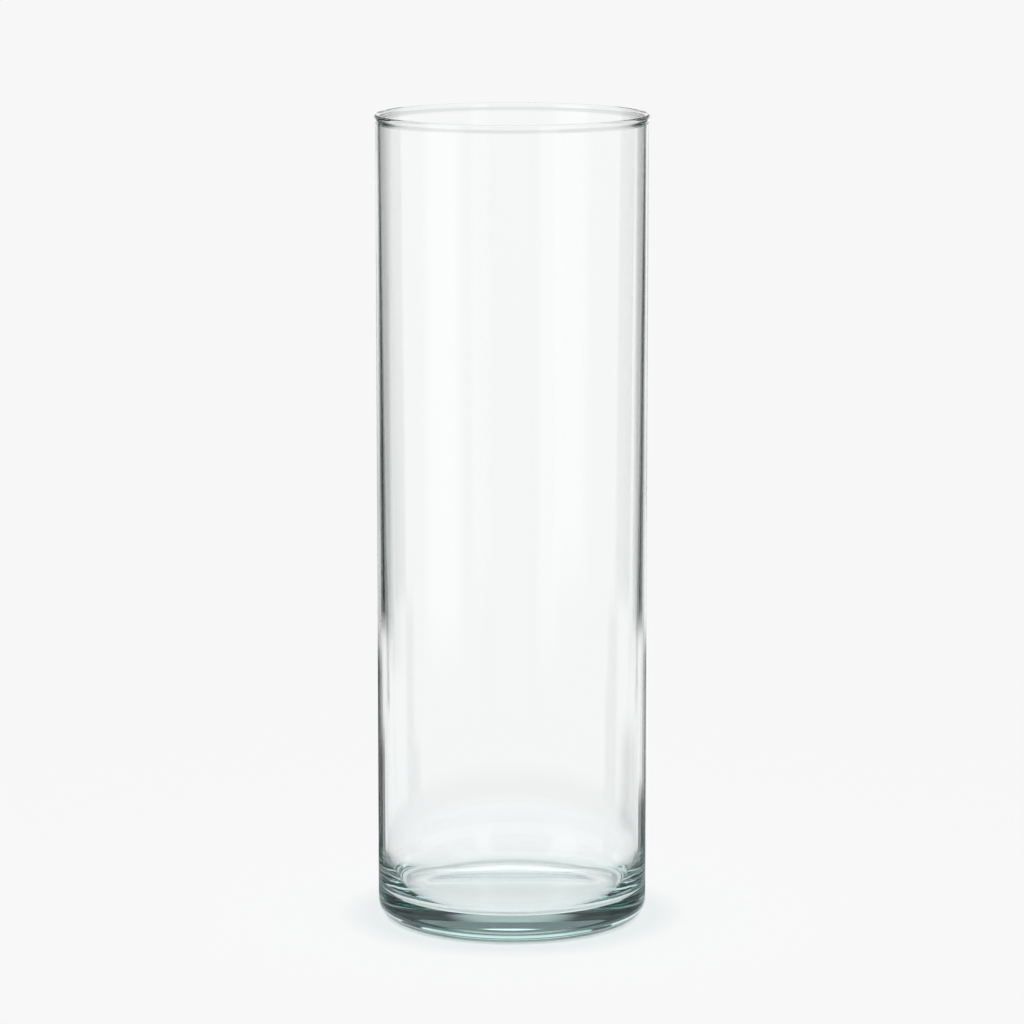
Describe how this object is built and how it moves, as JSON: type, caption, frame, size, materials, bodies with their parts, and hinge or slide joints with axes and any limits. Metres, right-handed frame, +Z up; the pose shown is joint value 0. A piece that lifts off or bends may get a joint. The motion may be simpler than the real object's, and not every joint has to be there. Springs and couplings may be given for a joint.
{
  "type": "glass cylinder vase",
  "caption": "Tall straight clear glass cylinder vase, open at the top, with a beaded rim, a thick rounded base and a flat inner floor.",
  "frame": {"origin": "centre of the flat ring that the vase stands on, on its axis", "axes": "+Z up along the axis of the cylinder, out of its open mouth; X and Y are free, since the vase is a solid of revolution"},
  "size_m": [0.0902, 0.0902, 0.2667],
  "materials": {
    "clear_glass": "fire-polished, clear, smooth, with a faint aqua tint that shows in the thick base"
  },
  "bodies": {
    "root": {"vase_body": "clear_glass"}
  },
  "joints": []
}
